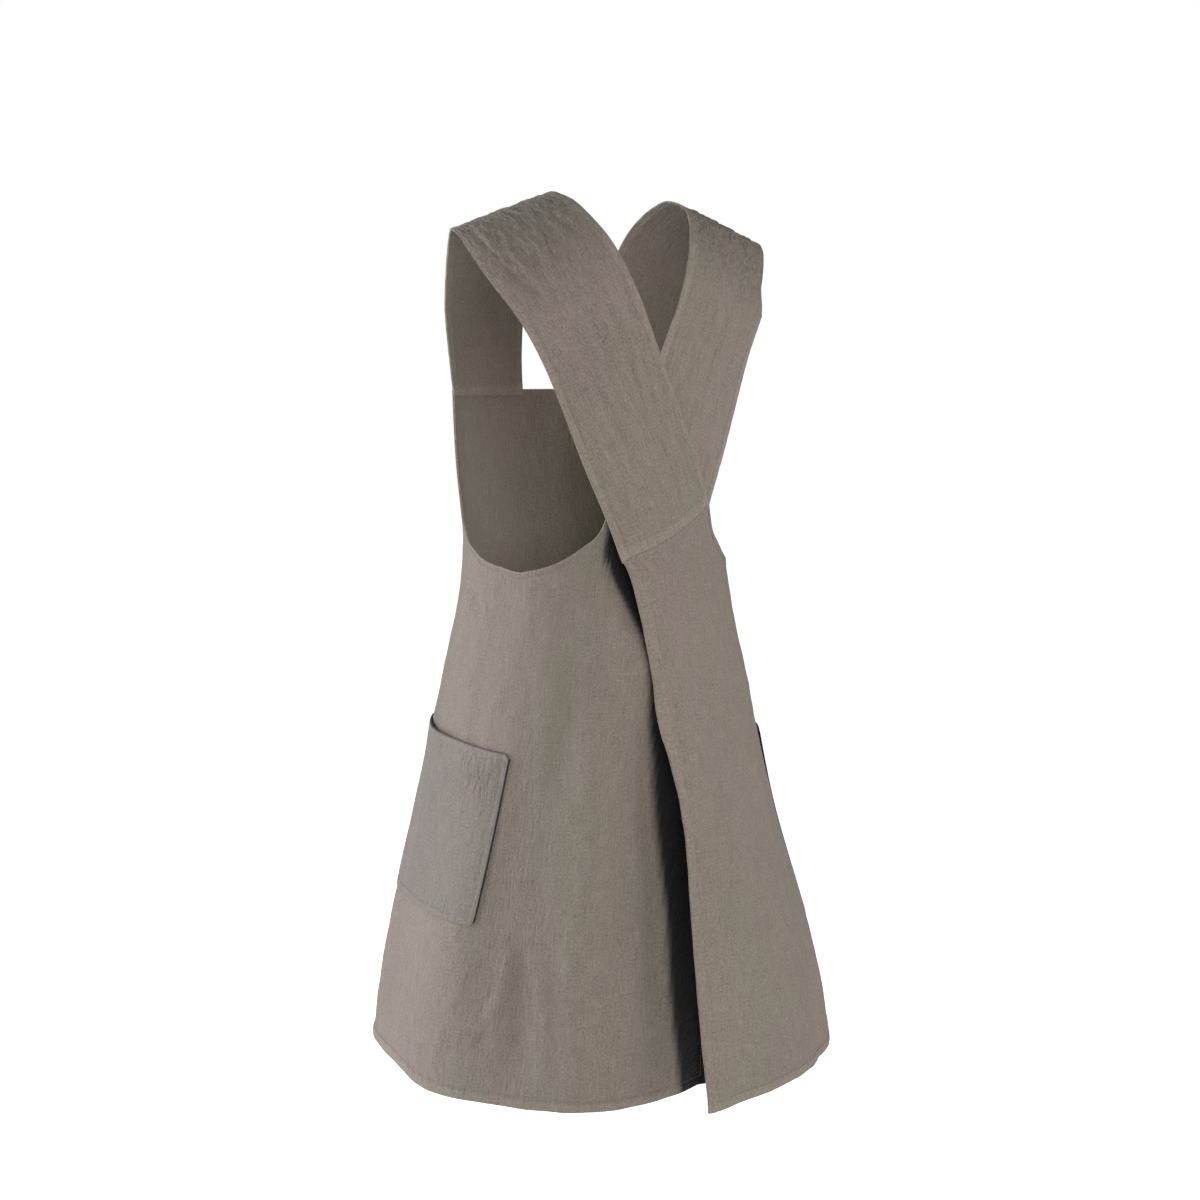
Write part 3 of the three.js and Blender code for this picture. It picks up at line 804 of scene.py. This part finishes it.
# Straps
strapCloth = {
    "wall": 0.0013,
    "hemWall": 0.0020,
    "topWidth": 0.118,
    "seamWidth": 0.130,
    "halfSpan": 0.133,
    "backLength": 0.419,
    "frontLength": 0.285,
    "layer": 0.007,
    "shoulderFall": 0.047,
    "bladeDrop": 0.124,
    "seamGap": 0.0003,
    "frontTuck": 0.007,
    "edgeHem": 0.0085,
    "seamBand": 0.012,
    "rows": 330,
    "columns": 44,
    "crinkleHeight": 0.00200,
    "streakHeight": 0.00130,
    "creaseShare": 1.3,
    "edgeWave": 0.0003,
    "grooveDepth": 0.00065,
    "baseCrinkle": 0.35,
    "shoulderCrinkle": 1.7,
    "edgeWear": 0.75,
    "endWear": 0.9,
    "cornerWear": 1.4,
}
# The roll over a shoulder, in shares of bladeDrop
shoulderRoll = {
    "along": [-2.30, -1.77, -1.27, -0.85, -0.47, -0.16, 0.00, 0.16, 0.34, 0.55, 0.84, 1.10, 1.39],
    "deep": [-1.03, -1.00, -0.87, -0.65, -0.36, -0.08, 0.08, 0.25, 0.43, 0.58, 0.74, 0.82, 0.86],
    "drop": [1.73, 1.21, 0.73, 0.36, 0.11, -0.015, -0.025, 0.01, 0.08, 0.225, 0.47, 0.72, 1.00],
}
strapFront = {"along": [-1.00, -0.70, -0.40, -0.16, 0.00], "side": [0.68, 0.75, 0.86, 0.95, 1.00]}
strapBack = {
    "along": [0.00, 0.10, 0.19, 0.30, 0.465, 0.60, 0.75, 0.90, 1.00],
    "side": [1.00, 0.98, 0.92, 0.81, 0.62, 0.44, 0.24, 0.03, -0.09],
    "shift": [0.35, 0.40, 0.50, 0.62, 0.80, 0.82, 0.88, 0.98, 1.00],
}


def shoulderSkin(side, along):
    blade = strapCloth["bladeDrop"]
    rollEnd = shoulderRoll["along"][-1] * blade
    below = np.maximum(along - rollEnd, 0)
    drop = readTable(shoulderRoll, "along", "drop", along / blade) * blade + below
    half, middle, back, front = sectionAt(np.maximum(drop, 0))
    rollDeep = readTable(shoulderRoll, "along", "deep", along / blade) * blade
    deep = lerp(rollDeep, back, ease(below / blade))
    power = form["sectionPower"]
    level = (1 - np.clip(np.abs(side) / half, 0, 0.98) ** power) ** (1 / power)
    slope = 1 - ease((drop / blade - 0.4) / 1.3)
    softSide = np.hypot(side, strapCloth["halfSpan"] / 3) - strapCloth["halfSpan"] * 0.6
    fall = strapCloth["shoulderFall"] * softSide / strapCloth["topWidth"] * slope
    return np.stack([side, middle + (deep - middle) * level, -drop - fall], axis=-1)


def strapCentre(t):
    along = lerp(-strapCloth["frontLength"], strapCloth["backLength"], t)
    front = along / strapCloth["frontLength"]
    back = along / strapCloth["backLength"]
    onFront = along < 0
    frontSide = readTable(strapFront, "along", "side", front)
    side = np.where(onFront, frontSide, readTable(strapBack, "along", "side", back))
    frontShift = strapBack["shift"][0] * ease(1 + front)
    shift = np.where(onFront, frontShift, readTable(strapBack, "along", "shift", back))
    return side * strapCloth["halfSpan"], along, shift


def strapPoint(t, w, hand):
    side, along, shift = strapCentre(t)
    beforeSide, beforeAlong, _ = strapCentre(np.maximum(t - 0.01, 0))
    afterSide, afterAlong, _ = strapCentre(np.minimum(t + 0.01, 1))
    length = np.hypot(afterSide - beforeSide, afterAlong - beforeAlong)
    headingSide = (afterSide - beforeSide) / length
    headingAlong = (afterAlong - beforeAlong) / length
    half = lerp(strapCloth["topWidth"], strapCloth["seamWidth"], ease((t - 0.4) / 0.6)) / 2
    place = hand * (side + headingAlong * half * w) - form["crossShift"] * shift
    point = shoulderSkin(place, along - headingSide * half * w)
    point[..., 1] += hand * strapCloth["layer"] / 2 * ease((along / strapCloth["backLength"] - 0.05) / 0.3)
    return point


def sewnStrapPoint(t, w, hand):
    across = (w + 1) / 2
    bibInner = form["bibHalfWidth"] - strapCloth["topWidth"] * 0.9
    turn = 180 - turnOfSide(lerp(bibInner, form["bibHalfWidth"], across), form["bibDrop"])
    bibWay = wayRound(turn if hand > 0 else 360 - turn, form["bibDrop"])
    seamWay = lerp(corners["rightSeam"], 1, across) if hand > 0 else lerp(corners["leftSeam"], 0, across)
    frontEnd = bodyAt(bibWay, topDrop(bibWay))
    frontEnd[..., 2] -= strapCloth["frontTuck"]
    frontEnd[..., 1] += (bodyCloth["hemWall"] + strapCloth["hemWall"]) / 2 + strapCloth["seamGap"]
    backEnd = bodyAt(seamWay, topDrop(seamWay))
    seamReach = form["seamInnerReach"] + form["seamOuterReach"]
    backEnd[..., 2] += strapCloth["seamGap"] * strapCloth["seamWidth"] / seamReach
    toFront = (frontEnd - strapPoint(0 * t, w, hand)) * ease(1 - t / 0.3)[..., None]
    toBack = (backEnd - strapPoint(0 * t + 1, w, hand)) * ease((t - 0.7) / 0.3)[..., None]
    return strapPoint(t, w, hand) + toFront + toBack


# Long soft creases of a strap: across, along, length, lean, width, height
strapCreases = [
    (0.006, 0.480, 0.130, 4, 0.0034, -0.0017),
    (0.014, 0.490, 0.110, 5, 0.0042, 0.0012),
    (-0.016, 0.520, 0.150, -3, 0.0050, -0.0011),
    (-0.026, 0.500, 0.140, -2, 0.0055, 0.0010),
    (0.030, 0.560, 0.140, 5, 0.0045, -0.0012),
    (0.040, 0.500, 0.130, 4, 0.0040, 0.0009),
    (-0.040, 0.455, 0.110, 2, 0.0036, -0.0010),
    (0.038, 0.400, 0.080, 8, 0.0034, -0.0013),
    (0.008, 0.610, 0.100, -4, 0.0050, 0.0009),
    (-0.008, 0.385, 0.075, 7, 0.0030, -0.0014),
    (0.022, 0.375, 0.065, 10, 0.0030, -0.0015),
    (-0.030, 0.370, 0.060, 4, 0.0030, -0.0012),
    (-0.044, 0.330, 0.050, 3, 0.0026, -0.0014),
    (0.046, 0.345, 0.050, 12, 0.0028, -0.0013),
    (-0.018, 0.335, 0.045, 12, 0.0026, -0.0013),
]


def makeStrap(name, hand):
    total = strapCloth["frontLength"] + strapCloth["backLength"]
    hemShare = strapCloth["edgeHem"] / (strapCloth["topWidth"] / 2) * 0.97
    edgeSteps = [0, 0.15, 0.4, 0.75, 1, 1.15, 1.5]
    ws = [-1 + hemShare * step for step in edgeSteps[:-1]]
    ws.extend(evenSteps(-1 + hemShare * 1.5, 1 - hemShare * 1.5, strapCloth["columns"]))
    ws.extend(1 - hemShare * step for step in reversed(edgeSteps))
    across = np.array(ws if hand > 0 else ws[::-1])
    band = strapCloth["seamBand"]
    endSteps = [0, 0.0015, 0.004, 0.008, band - 0.0015, band, band + 0.0015, band + 0.004]
    alongs = endSteps[:-1] + evenSteps(endSteps[-1], total - endSteps[-1], strapCloth["rows"])
    alongs += [total - step for step in reversed(endSteps)]
    alongs = np.array(alongs)
    w, t = np.meshgrid(across, alongs / total)
    grid = sewnStrapPoint(t, w, hand)
    half = lerp(strapCloth["topWidth"], strapCloth["seamWidth"], ease((t - 0.4) / 0.6)) / 2
    x = w * half
    y = t * total
    fromEdge = half - np.abs(x)
    fromEnd = np.minimum(y, total - y)

    # Dense crinkles on the shoulder, then long soft creases down the back
    crest = strapCloth["frontLength"]
    onShoulder = (0.25 + 0.75 * ease((y - crest) / 0.025)) * ease((y - 0.20) / 0.05) * ease((0.47 - y) / 0.14)
    lean = x + 0.10 * (y - 0.3)
    fine = softNoise(lean / 0.0052, y / 0.019, 21 + hand)
    fine = fine + 0.6 * softNoise(lean / 0.0033, y / 0.011, 25 + hand)
    long = softNoise(x / 0.011, y / 0.075, 31 + hand) + 0.5 * softNoise(x / 0.006, y / 0.05, 35 + hand)
    height = strapCloth["crinkleHeight"] * fine * (onShoulder + 0.08)
    height = height + strapCloth["streakHeight"] * long * (0.5 + 0.5 * ease((y - 0.3) / 0.1))
    height = height + strapCloth["creaseShare"] * creaseRelief(x * hand, y, strapCreases)
    height = height * ease((fromEdge - 0.004) / 0.010) * ease((fromEnd - 0.002) / 0.022)
    edgeWave = strapCloth["edgeWave"] * softNoise(y / 0.012, x / 0.03, 41 + hand)
    edgeWave = edgeWave * ease(1 - fromEdge / 0.014) * ease(fromEnd / 0.02)
    grooves = bell(fromEdge - strapCloth["edgeHem"], 0.0014) + 0.8 * bell(fromEnd - band, 0.0014)
    grid = pressedOut(grid, height + edgeWave - strapCloth["grooveDepth"] * np.clip(grooves, 0, 1))

    turned = ((fromEdge < strapCloth["edgeHem"]) | (fromEnd < band)).astype(float)
    atCorner = bell(fromEnd - 0.004, 0.006) * bell(fromEdge - 0.004, 0.006)
    wear = strapCloth["edgeWear"] * ease((strapCloth["edgeHem"] + 0.001 - fromEdge) / 0.002)
    wear = wear + strapCloth["endWear"] * ease((band + 0.001 - fromEnd) / 0.002)
    marks = {
        "hemPucker": bell(np.maximum(fromEnd - band, 0), 0.008),
        "edgePucker": bell(np.maximum(fromEdge - strapCloth["edgeHem"], 0), 0.006),
        "crinkle": strapCloth["baseCrinkle"] + strapCloth["shoulderCrinkle"] * onShoulder,
        "worn": np.clip(wear + strapCloth["cornerWear"] * atCorner, 0, 2),
    }
    piece = makeCloth(name + "Cloth", grid, np.stack([x + 0.4 * hand, y], axis=-1), turned, marks, strapCloth)
    piece.data.materials.append(strapLinen)
    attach(piece, "root")

    normals = outwardNormals(grid)
    skin = grid + normals * strapCloth["hemWall"] / 2
    ends = slice(endSteps.index(band), len(alongs) - endSteps.index(band))
    sides = slice(edgeSteps.index(1), len(across) - edgeSteps.index(1))
    paths = [(skin[1:-1, column], normals[1:-1, column]) for column in (sides.start, sides.stop - 1)]
    paths += [(skin[row, 1:-1], normals[row, 1:-1]) for row in (ends.start, ends.stop - 1)]
    makeStitches(name + "Stitches", paths, thread)
    return piece


leftStrapPiece = makeStrap("leftStrap", 1)
rightStrapPiece = makeStrap("rightStrap", -1)
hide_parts("left_strap")
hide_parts("right_strap")
print("straps made")

# Pockets
pocketCloth = {
    "wall": 0.0013,
    "hemWall": 0.0020,
    "width": 0.205,
    "height": 0.184,
    "drop": 0.608,
    "turn": 50,
    "farTurn": 68,
    "lean": 0.022,
    "rise": 0.022,
    "belly": 0.0060,
    "corner": 0.006,
    "rounding": 0.008,
    "clear": 0.0008,
    "edgeStitch": 0.0022,
    "innerStitch": 0.0075,
    "columns": 74,
    "rows": 66,
    "mouthHem": 0.006,
    "rippleHeight": 0.0010,
    "crumpleHeight": 0.00025,
    "fullness": 0.0007,
    "puffHeight": 0.0003,
    "grooveDepth": 0.0003,
    "baseCrinkle": 0.15,
    "cornerCrinkle": 0.8,
    "edgeWear": 0.5,
    "mouthWear": 0.4,
}
# Small crumples by the mouth: from the back edge, down from the mouth, length, lean, width, height
pocketCrumples = [
    (0.014, 0.020, 0.030, 8, 0.0022, 0.0009),
    (0.024, 0.028, 0.034, -22, 0.0020, 0.0008),
    (0.030, 0.022, 0.026, 30, 0.0020, -0.0007),
    (0.038, 0.034, 0.050, 12, 0.0030, 0.0008),
    (0.020, 0.058, 0.060, 6, 0.0028, -0.0007),
    (0.052, 0.030, 0.060, 4, 0.0036, 0.0007),
]


def makePocket(name, hand):
    width, tall = pocketCloth["width"], pocketCloth["height"]
    outer, inner = pocketCloth["edgeStitch"], pocketCloth["innerStitch"]
    sideSteps = [0, 0.0008, outer, 0.004, 0.006, inner, 0.009, 0.0115]
    acrosses = sideSteps[:-1] + evenSteps(sideSteps[-1], width - sideSteps[-1], pocketCloth["columns"])
    acrosses += [width - step for step in reversed(sideSteps)]
    topSteps = [0, 0.0008, 0.0022, 0.004]
    downs = topSteps[:-1] + evenSteps(topSteps[-1], tall - sideSteps[-1], pocketCloth["rows"])
    downs += [tall - step for step in reversed(sideSteps)]
    x, y = np.meshgrid(np.array(acrosses if hand > 0 else acrosses[::-1]), np.array(downs))
    across, down = x / width, y / tall
    cut = np.maximum(pocketCloth["corner"] - x, 0) * (1 - down)
    fromSide = np.minimum(x, width - x)
    radius = pocketCloth["rounding"]
    arc = radius - np.sqrt(radius ** 2 - np.maximum(radius - fromSide, 0) ** 2)
    drop = pocketCloth["drop"] + y - across * pocketCloth["rise"] * (1 - 0.6 * down) + cut - arc * down ** 12
    backTurn = pocketCloth["turn" if hand > 0 else "farTurn"]
    turn = turnAfter(backTurn, drop, pocketCloth["lean"] * down + x)
    standClear = bodyCloth["wall"] / 2 + pocketCloth["clear"] + pocketCloth["wall"] / 2
    belly = bell(across - 0.60, 0.17) * (1 - down) ** 2 * pocketCloth["belly"]
    grid = bodySkin(turn if hand > 0 else 360 - turn, drop, standClear + belly)
    fromEdge = np.minimum(fromSide, tall - y)
    loose = ease((fromEdge - 0.004) / 0.012)
    height = pocketCloth["rippleHeight"] * softNoise(x / 0.022, y / 0.110, 51 + hand)
    height = height + pocketCloth["crumpleHeight"] * softNoise(x / 0.012, y / 0.014, 55 + hand)
    height = (height + creaseRelief(x, y, pocketCrumples)) * loose
    height = height + pocketCloth["fullness"] * loose
    grooves = bell(fromEdge - outer, 0.0010) + bell(fromEdge - inner, 0.0013)
    puff = bell(fromEdge - (outer + inner) / 2, 0.0018)
    pressed = pocketCloth["puffHeight"] * puff - pocketCloth["grooveDepth"] * np.clip(grooves, 0, 1)
    grid = pressedOut(grid, height + pressed)
    turned = ((fromEdge < inner) | (y < pocketCloth["mouthHem"])).astype(float)
    # Painted shade: a near-black rim about 2 mm wide along the pocket's back edge, and a fainter one along
    # its mouth
    backShade = 1 - ease((x - 0.0006) / 0.0016)
    mouthShade = 0.7 * (1 - ease((y - 0.0003) / 0.0014))
    atCorner = bell(x - 0.025, 0.03) * bell(y - 0.03, 0.03)
    wear = pocketCloth["edgeWear"] * bell(fromEdge - 0.005, 0.003)
    marks = {
        "hemPucker": bell(np.maximum(tall - y - inner, 0), 0.006),
        "edgePucker": bell(np.maximum(fromSide - inner, 0), 0.006),
        "crinkle": pocketCloth["baseCrinkle"] + pocketCloth["cornerCrinkle"] * atCorner,
        "paintedShade": np.maximum(backShade, mouthShade),
        "worn": wear + pocketCloth["mouthWear"] * bell(y - 0.004, 0.003),
    }
    piece = makeCloth(name + "Cloth", grid, np.stack([x + 2 * hand, -y], axis=-1), turned, marks, pocketCloth)
    piece.data.materials.append(pocketLinen)
    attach(piece, "root")

    normals = outwardNormals(grid)
    skin = grid + normals * pocketCloth["hemWall"] / 2
    last = len(downs) - 1
    paths = []
    for step in (outer, inner):
        k = sideSteps.index(step)
        for column in (k, len(acrosses) - 1 - k):
            paths.append((skin[1:last - k + 1, column], normals[1:last - k + 1, column]))
        paths.append((skin[last - k, k:len(acrosses) - k], normals[last - k, k:len(acrosses) - k]))
    makeStitches(name + "Stitches", paths, thread)
    return piece


leftPocketPiece = makePocket("leftPocket", 1)
rightPocketPiece = makePocket("rightPocket", -1)
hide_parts("left_pocket")
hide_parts("right_pocket")
print("pockets made")

# Studio: pale floor, three soft lights under a faint sky, and the camera
studio = {
    "skyLight": 0.16,
    "keyPlace": (2.6, -1.1, 0.1),
    "keySize": 2.2,
    "keyPower": 90,
    "keyColour": (0.99, 0.98, 1.09),
    "fillPlace": (-2.4, 1.3, 0.2),
    "fillSize": 2.2,
    "fillPower": 30,
    "fillColour": (1.05, 0.99, 0.97),
    "softPlace": (0.6, 2.9, 0.6),
    "softSize": 2.2,
    "softPower": 52,
    "softColour": (1.01, 1.00, 1.00),
    "floorDrop": 1.42,
    "floorRadius": 16,
    "floorTone": 0.88,
    "cameraPlace": (1.035, 2.220, -0.19),
    "cameraAim": (0.002, 0, -0.455),
    "lens": 64.35,
    "sensorWidth": 36,
}


def aimAt(lamp, target):
    direction = np.array(target) - np.array(lamp.location)
    flatLength = math.hypot(direction[0], direction[1])
    tilt = math.atan2(flatLength, -direction[2])
    lamp.rotation_euler = (tilt, 0, math.atan2(direction[1], direction[0]) - math.pi / 2)


bpy.ops.object.select_all(action="DESELECT")
floorPlace = (0, 0, -studio["floorDrop"])
bpy.ops.mesh.primitive_circle_add(
    vertices=96,
    radius=studio["floorRadius"],
    fill_type="NGON",
    location=floorPlace,
)
floor = bpy.context.active_object
floor.name = "floor"
bpy.ops.object.transform_apply(location=True, rotation=True, scale=True)
pale, paleTree, paleShader = newMaterial("paleFloor")
paleShader.inputs["Base Color"].default_value = (*[studio["floorTone"]] * 3, 1)
paleShader.inputs["Roughness"].default_value = 0.9
paleShader.inputs["Emission Color"].default_value = (1, 1, 1, 1)
floorSeen = addNode(paleTree, "ShaderNodeLightPath").outputs["Is Camera Ray"]
paleTree.links.new(floorSeen, paleShader.inputs["Emission Strength"])
floor.data.materials.append(pale)

for lampName, prefix in (("keyLight", "key"), ("fillLight", "fill"), ("softLight", "soft")):
    bpy.ops.object.light_add(type="AREA", location=studio[prefix + "Place"])
    lamp = bpy.context.active_object
    lamp.name = lampName
    lamp.data.shape = "SQUARE"
    lamp.data.size = studio[prefix + "Size"]
    lamp.data.energy = studio[prefix + "Power"]
    lamp.data.color = studio[prefix + "Colour"]
    aimAt(lamp, studio["cameraAim"])

world = bpy.data.worlds.new("softSky")
bpy.context.scene.world = world
world.use_nodes = True
sky = world.node_tree
skyLight = sky.nodes["Background"]
skyLight.inputs["Color"].default_value = (1, 1, 1, 1)
skyLight.inputs["Strength"].default_value = studio["skyLight"]
backdrop = addNode(sky, "ShaderNodeBackground")
backdrop.inputs["Color"].default_value = (1, 1, 1, 1)
seen = addNode(sky, "ShaderNodeMixShader")
sky.links.new(addNode(sky, "ShaderNodeLightPath").outputs["Is Camera Ray"], seen.inputs[0])
sky.links.new(skyLight.outputs[0], seen.inputs[1])
sky.links.new(backdrop.outputs[0], seen.inputs[2])
sky.links.new(seen.outputs[0], sky.nodes["World Output"].inputs["Surface"])
bpy.context.scene.view_settings.view_transform = "Standard"

bpy.ops.object.camera_add(location=studio["cameraPlace"])
camera = bpy.context.active_object
camera.name = "camera"
camera.data.lens = studio["lens"]
camera.data.sensor_width = studio["sensorWidth"]
aimAt(camera, studio["cameraAim"])
bpy.context.scene.camera = camera
print("studio made")
